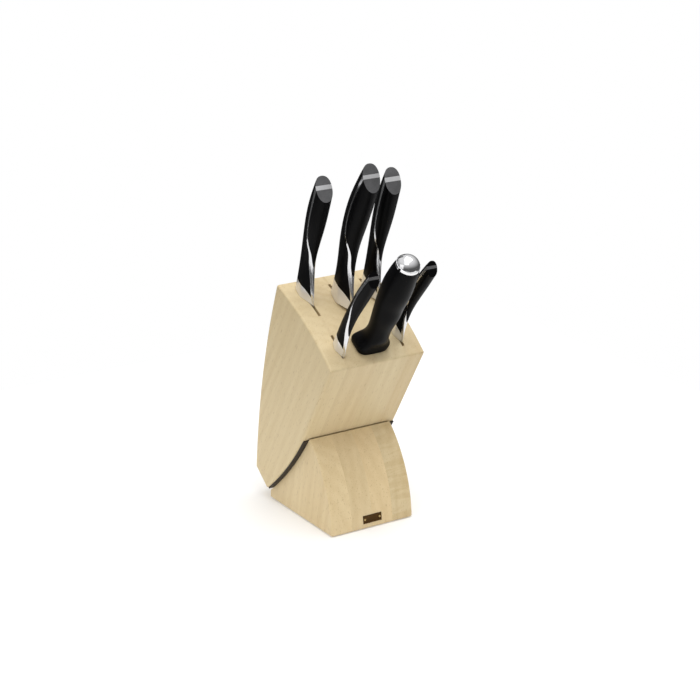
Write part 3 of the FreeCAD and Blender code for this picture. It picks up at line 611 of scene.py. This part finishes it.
def model_dome(name, matrix, radius, rim, height, groove=0.0, sides=96, rings=10):
    """Turned cap: a straight rim, a fine turned line and a domed top."""
    deselect_all()
    bpy.ops.mesh.primitive_cylinder_add(vertices=sides, radius=radius, depth=rim,
                                        location=(0, 0, rim / 2), end_fill_type="NGON")
    dome = bpy.context.object
    dome.name = name
    bpy.ops.object.transform_apply(location=True, rotation=True, scale=True)
    begin_edit(dome)
    pick_faces(dome, lambda face: face.normal.z > 0.9)
    if groove > 0:
        bpy.ops.mesh.inset(thickness=groove)
        bpy.ops.mesh.inset(thickness=groove * 0.25, depth=-groove)
        bpy.ops.mesh.inset(thickness=groove * 0.6)
        bpy.ops.mesh.inset(thickness=groove * 0.25, depth=groove)
    start = radius - groove * 2.1
    rise = height - rim
    ball = (start * start + rise * rise) / (2 * rise)
    sweep = math.asin(min(1.0, start / ball))
    for step in range(rings):
        a = sweep * (1 - step / rings)
        b = sweep * (1 - (step + 1) / rings)
        inward = ball * (math.sin(a) - math.sin(b))
        upward = ball * (math.cos(b) - math.cos(a))
        if step + 1 == rings:
            inward = inward * 0.9
        bpy.ops.mesh.inset(thickness=inward, depth=upward)
    end_edit()
    set_down(dome, matrix)
    return dome


# ---------------------------------------------------------------- operators
class WoodenBlockOperator(bpy.types.Operator):
    """Finish the leaning block: four beech boards and the strips between them"""
    bl_idname = "knife_block.wooden_block"
    bl_label = "Wooden block"

    def execute(self, context):
        turn = (-BLOCK_LEAN, 0.0, 0.0)
        looks = {
            "block_board_left": ((0.085, 0.02, 0.0), 1.0, 0.0),
            "block_board_centre_left": ((0.31, 0.27, 0.4), 0.96, 0.015),
            "block_board_centre_right": ((0.62, -0.41, 0.9), 1.01, -0.01),
            "block_board_right": ((0.93, 0.55, 1.3), 0.98, 0.01),
            "seam_strips_left": ((1.21, 0.13, 1.7), 0.93, 0.02),
            "seam_strips_middle": ((1.47, -0.22, 2.1), 0.93, 0.02),
            "seam_strips_right": ((1.82, 0.38, 2.6), 0.93, 0.02),
        }
        for node, (move, tone, warm) in looks.items():
            paint(NODES[node], wood_finish("beech_" + node, turn, move, tone, warm))
        return {"FINISHED"}


class WoodenBaseOperator(bpy.types.Operator):
    """Finish the curved base: four beech boards of different tones"""
    bl_idname = "knife_block.wooden_base"
    bl_label = "Wooden base"

    def execute(self, context):
        looks = {
            "base_board_left": ((0.2, 0.31, 3.1), 1.02, 0.015, 0.0),
            "base_board_centre_left": ((0.51, -0.18, 3.6), 0.95, 0.025, 0.0),
            "base_board_centre_right": ((0.77, 0.46, 4.2), 1.00, 0.03, 0.0),
            "base_board_right": ((1.08, -0.35, 4.9), 0.95, 0.0, 0.40),
        }
        for node, (move, tone, warm, ripple) in looks.items():
            turn = (math.radians(-12), math.radians(2), 0.0)
            paint(NODES[node], wood_finish("beech_" + node, turn, move, tone, warm, ripple))
        paint(NODES["base_dowels"], wood_finish("beech_dowels", (BLOCK_LEAN, 0, 0), (2.2, 0.4, 0.1), 1.02))
        return {"FINISHED"}


class LinerAndFeetOperator(bpy.types.Operator):
    """Finish the dark liner strip, whose near-black colour is partly painted shade of the gap between block
    and base, and model the four grooved rubber feet
    """
    bl_idname = "knife_block.liner_and_feet"
    bl_label = "Liner and feet"

    def execute(self, context):
        base = context.scene.block_base
        # Painted shade, in part: this near-black liner colour also paints the shade in the gap between block
        # and base.
        liner = mottled_finish("liner_rubber", base.liner_and_gap_shade_colour, 0.6, 0.8, 1400.0, 0.00005)
        paint(NODES["cradle_liner"], liner)
        rubber = mottled_finish("foot_rubber", (0.028, 0.028, 0.03), 0.55, 0.75, 1800.0, 0.00005)
        for node in FEET:
            low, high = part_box(node)
            foot = model_foot("rubber_" + node, low, high, base.foot_grooves)
            paint(foot, rubber)
            hand_over(foot, "block", "foot_rubber", node)
        return {"FINISHED"}


class PlateOperator(bpy.types.Operator):
    """Model the blank plate on the base's front, and its two domed pins"""
    bl_idname = "knife_block.blank_plate"
    bl_label = "Blank plate"

    def execute(self, context):
        base = context.scene.block_base
        out = flat_direction("base_plate", lambda polygon: polygon.normal.y < -0.5)
        matrix = axis_frame(out, Vector((0, 0, 0)))
        low, high = extent("base_plate", matrix)
        plate = model_plate("blank_plate", matrix, low, high, base.border_width)
        border = mottled_finish("plate_border", base.border_colour, 0.3, 0.45, 2600.0, 0.00003, 1.0)
        field = mottled_finish("plate_field", base.plate_colour, 0.5, 0.7, 1800.0, 0.00006, 0.6)
        paint(plate, border, field)
        hand_over(plate, "block", "plate_bronze", "base_plate")
        pin_low, pin_high = extent("base_plate_pins", matrix)
        radius = (pin_high.y - pin_low.y) / 2
        brass = mottled_finish("pin_brass", (0.52, 0.38, 0.16), 0.22, 0.34, 3000.0, 0.00002, 1.0)
        for side, x in (("left", pin_low.x + radius), ("right", pin_high.x - radius)):
            centre = matrix @ Vector((x, (pin_low.y + pin_high.y) / 2, high.z - FIELD_DEPTH))
            head = axis_frame(out, centre)
            height = pin_high.z - high.z + FIELD_DEPTH
            pin = model_dome("plate_pin_" + side, head, radius, height * 0.4, height, 0.0, 32, 5)
            paint(pin, brass)
            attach(pin, "block")
            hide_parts("base_plate_pins")
        return {"FINISHED"}


class BladesOperator(bpy.types.Operator):
    """Finish the forged blades: polished bolsters above, ground flanks below"""
    bl_idname = "knife_block.blades"
    bl_label = "Blades and bolsters"

    def execute(self, context):
        steel = context.scene.block_steel
        polish = steel.polish_roughness
        bright = [1.2 * c for c in steel.steel_colour]
        bolster = mottled_finish("bolster_polish", bright, polish + 0.17, polish + 0.26,
                                 2600.0, 0.00001, 0.7)
        for knife in KNIVES:
            axis = Vector(JOINTS[knife]["axis"])
            lean = math.atan2(-axis.y, axis.z)
            ground = ground_steel("ground_" + knife, (-lean, 0, 0), steel.satin_roughness - 0.08,
                                  steel.satin_roughness + 0.1, 0.00001)
            blade = NODES[knife + "_blade"]
            paint(blade, bolster, ground)
            for polygon in blade.data.polygons:
                thick = max(abs(blade.data.vertices[i].co.x - self.seat_x(blade)) for i in polygon.vertices)
                polygon.material_index = 0 if thick > BLADE_HALF else 1
        return {"FINISHED"}

    def seat_x(self, blade):
        """Middle plane of a blade, kept on the object after the first look."""
        if "middle_x" not in blade:
            xs = [vertex.co.x for vertex in blade.data.vertices]
            blade["middle_x"] = (min(xs) + max(xs)) / 2
        return blade["middle_x"]


class HandlesOperator(bpy.types.Operator):
    """Finish the knife handles: satin grips, matt ends and polished tang bands"""
    bl_idname = "knife_block.handles"
    bl_label = "Knife handles"

    def execute(self, context):
        handles = context.scene.block_handles
        steel = context.scene.block_steel
        rough = handles.grip_roughness
        grip = mottled_finish("grip_satin", handles.grip_colour, rough - 0.05, rough + 0.08, 2400.0, 0.00003,
                              specular=0.06)
        end = sanded_finish("grip_end", handles.end_colour)
        polish = steel.polish_roughness
        band = mottled_finish("band_polish", steel.steel_colour, polish, polish + 0.08, 2600.0, 0.00001, 1.0)
        brushed_end = mottled_finish("band_end", [1.15 * c for c in steel.steel_colour],
                                     0.34, 0.46, 2600.0, 0.00002, 1.0)
        for knife in KNIVES:
            low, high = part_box(knife + "_spine_grip")
            level = low.z + (high.z - low.z) * 0.7
            butt = flat_direction(knife + "_spine_grip",
                                  lambda polygon: polygon.center.z > level and polygon.normal.z > 0.2)
            for piece, side, face in (("_spine_grip", grip, end), ("_edge_grip", grip, end),
                                      ("_tang_band", band, brushed_end)):
                node = NODES[knife + piece]
                paint(node, side, face)
                for polygon in node.data.polygons:
                    on_end = polygon.normal.dot(butt) > 0.995 and polygon.center.z > level
                    polygon.material_index = 1 if on_end else 0
        return {"FINISHED"}


class SharpeningSteelOperator(bpy.types.Operator):
    """Finish the sharpening steel's rod and handle, and model its turned cap"""
    bl_idname = "knife_block.sharpening_steel"
    bl_label = "Sharpening steel"

    def execute(self, context):
        handles = context.scene.block_handles
        steel = context.scene.block_steel
        axis = Vector(JOINTS["sharpening_steel"]["axis"]).normalized()
        matrix = axis_frame(axis, Vector((0, 0, 0)))
        rough = handles.grip_roughness
        handle = mottled_finish("steel_handle_satin", handles.grip_colour, rough - 0.02, rough + 0.1,
                                2400.0, 0.00003, specular=0.06)
        paint(NODES["steel_handle"], handle)
        low, high = extent("steel_rod", matrix)
        lean = math.atan2(-axis.y, axis.z)
        middle = (low + high) / 2
        paint(NODES["steel_rod"], ribbed_steel("rod_ribs", (-lean, 0, 0), (-middle.x, -middle.y, 0)))
        low, high = extent("steel_cap", matrix)
        radius = (high.x - low.x) / 2
        foot = matrix @ Vector(((low.x + high.x) / 2, (low.y + high.y) / 2, low.z))
        cap = model_dome("polished_cap", axis_frame(axis, foot), radius, 3.0 * MM, high.z - low.z,
                         steel.cap_groove)
        polish = steel.polish_roughness
        paint(cap, mottled_finish("cap_polish", [1.1 * c for c in steel.steel_colour],
                                  polish - 0.05, polish + 0.03, 2600.0, 0.00001, 1.0))
        hand_over(cap, "sharpening_steel", "polished_cap", "steel_cap")
        return {"FINISHED"}


class FixingsOperator(bpy.types.Operator):
    """Finish the zinc plated screws under the base"""
    bl_idname = "knife_block.fixings"
    bl_label = "Screws"

    def execute(self, context):
        zinc = mottled_finish("screw_zinc", (0.56, 0.57, 0.58), 0.28, 0.45, 2200.0, 0.00003, 1.0)
        paint(NODES["base_screws"], zinc)
        return {"FINISHED"}


class StageOperator(bpy.types.Operator):
    """Make the plain pale floor, the soft studio lights and the camera"""
    bl_idname = "knife_block.stage"
    bl_label = "Stage"

    def execute(self, context):
        stage = context.scene.block_stage
        self.add_floor(stage)
        self.add_lights(stage)
        self.add_sky(context.scene, stage)
        self.add_camera(context.scene)
        context.scene.view_settings.view_transform = "Standard"
        return {"FINISHED"}

    def add_floor(self, stage):
        deselect_all()
        bpy.ops.mesh.primitive_plane_add(size=FLOOR_SIZE)
        floor = bpy.context.object
        floor.name = "floor"
        paper = mottled_finish("floor_paper", stage.floor_colour, 0.7, 0.8, 300.0, 0.00002)
        shader = paper.node_tree.nodes["Principled BSDF"]
        shader.inputs["Emission Color"].default_value = (1, 1, 1, 1)
        shader.inputs["Emission Strength"].default_value = stage.floor_glow
        paint(floor, paper)
        floor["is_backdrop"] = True

    def add_lights(self, stage):
        for name, place, size, power in LIGHTS:
            deselect_all()
            bpy.ops.object.light_add(type="AREA", location=place)
            light = bpy.context.object
            light.name = name
            light.data.size = size
            light.data.energy = getattr(stage, power)
            light.rotation_euler = (LIGHT_AIM - Vector(place)).to_track_quat("-Z", "Y").to_euler()

    def add_sky(self, scene, stage):
        """White to the camera, and greyer low down, so that polished steel has something to show."""
        world = bpy.data.worlds.new("studio")
        world.use_nodes = True
        tree = world.node_tree
        sky = tree.nodes["Background"]
        sky.inputs["Strength"].default_value = stage.sky_strength
        coordinates = tree.nodes.new("ShaderNodeTexCoord")
        parts = tree.nodes.new("ShaderNodeSeparateXYZ")
        tree.links.new(coordinates.outputs["Generated"], parts.inputs[0])
        shade = span(tree, parts.outputs["Z"], 0.0, 0.7, SKY_LOW, SKY_HIGH)
        tree.links.new(shade, sky.inputs["Color"])
        white = tree.nodes.new("ShaderNodeBackground")
        white.inputs["Strength"].default_value = 1.0
        white.inputs["Color"].default_value = (1, 1, 1, 1)
        path = tree.nodes.new("ShaderNodeLightPath")
        choice = tree.nodes.new("ShaderNodeMixShader")
        tree.links.new(path.outputs["Is Camera Ray"], choice.inputs[0])
        tree.links.new(sky.outputs[0], choice.inputs[1])
        tree.links.new(white.outputs[0], choice.inputs[2])
        tree.links.new(choice.outputs[0], tree.nodes["World Output"].inputs[0])
        scene.world = world

    def add_camera(self, scene):
        azimuth = math.radians(-32.41)
        elevation = math.radians(18.79)
        roll = math.radians(-0.16)
        low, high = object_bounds()
        aim = (low + high) / 2 + Vector((0, 6.9 * MM, -10.3 * MM))
        back = Vector((math.sin(azimuth) * math.cos(elevation),
                       -math.cos(azimuth) * math.cos(elevation), math.sin(elevation)))
        bpy.ops.object.camera_add(location=aim + back * CAMERA_DISTANCE)
        camera = bpy.context.object
        camera.name = "camera"
        right = Vector((math.cos(azimuth), math.sin(azimuth), 0))
        up = back.cross(right)
        turned_right = right * math.cos(roll) + up * math.sin(roll)
        turned_up = up * math.cos(roll) - right * math.sin(roll)
        camera.rotation_euler = Matrix((turned_right, turned_up, back)).transposed().to_euler()
        camera.data.sensor_width = 36
        camera.data.lens = CAMERA_LENS
        camera.data.clip_end = 50
        scene.camera = camera


OPERATORS = (
    WoodenBlockOperator,
    WoodenBaseOperator,
    LinerAndFeetOperator,
    PlateOperator,
    BladesOperator,
    HandlesOperator,
    SharpeningSteelOperator,
    FixingsOperator,
    StageOperator,
)


class KnifeBlockPanel(bpy.types.Panel):
    """Sizes, colours and steps of the knife block"""
    bl_idname = "VIEW3D_PT_knife_block"
    bl_label = "Knife block"
    bl_space_type = "VIEW_3D"
    bl_region_type = "UI"
    bl_category = "Knife block"

    def draw(self, context):
        for name, kind in SETTINGS.items():
            box = self.layout.box()
            for prop in kind.__annotations__:
                box.prop(getattr(context.scene, name), prop)
        for operator in OPERATORS:
            self.layout.operator(operator.bl_idname)


CLASSES = tuple(SETTINGS.values()) + OPERATORS + (KnifeBlockPanel,)


def register():
    for kind in CLASSES:
        bpy.utils.register_class(kind)
    for name, kind in SETTINGS.items():
        setattr(bpy.types.Scene, name, PointerProperty(type=kind))


def unregister():
    for name in SETTINGS:
        delattr(bpy.types.Scene, name)
    for kind in reversed(CLASSES):
        bpy.utils.unregister_class(kind)


def main():
    register()
    for operator in OPERATORS:
        group, step = operator.bl_idname.split(".")
        getattr(getattr(bpy.ops, group), step)()


if __name__ == "__main__":
    main()
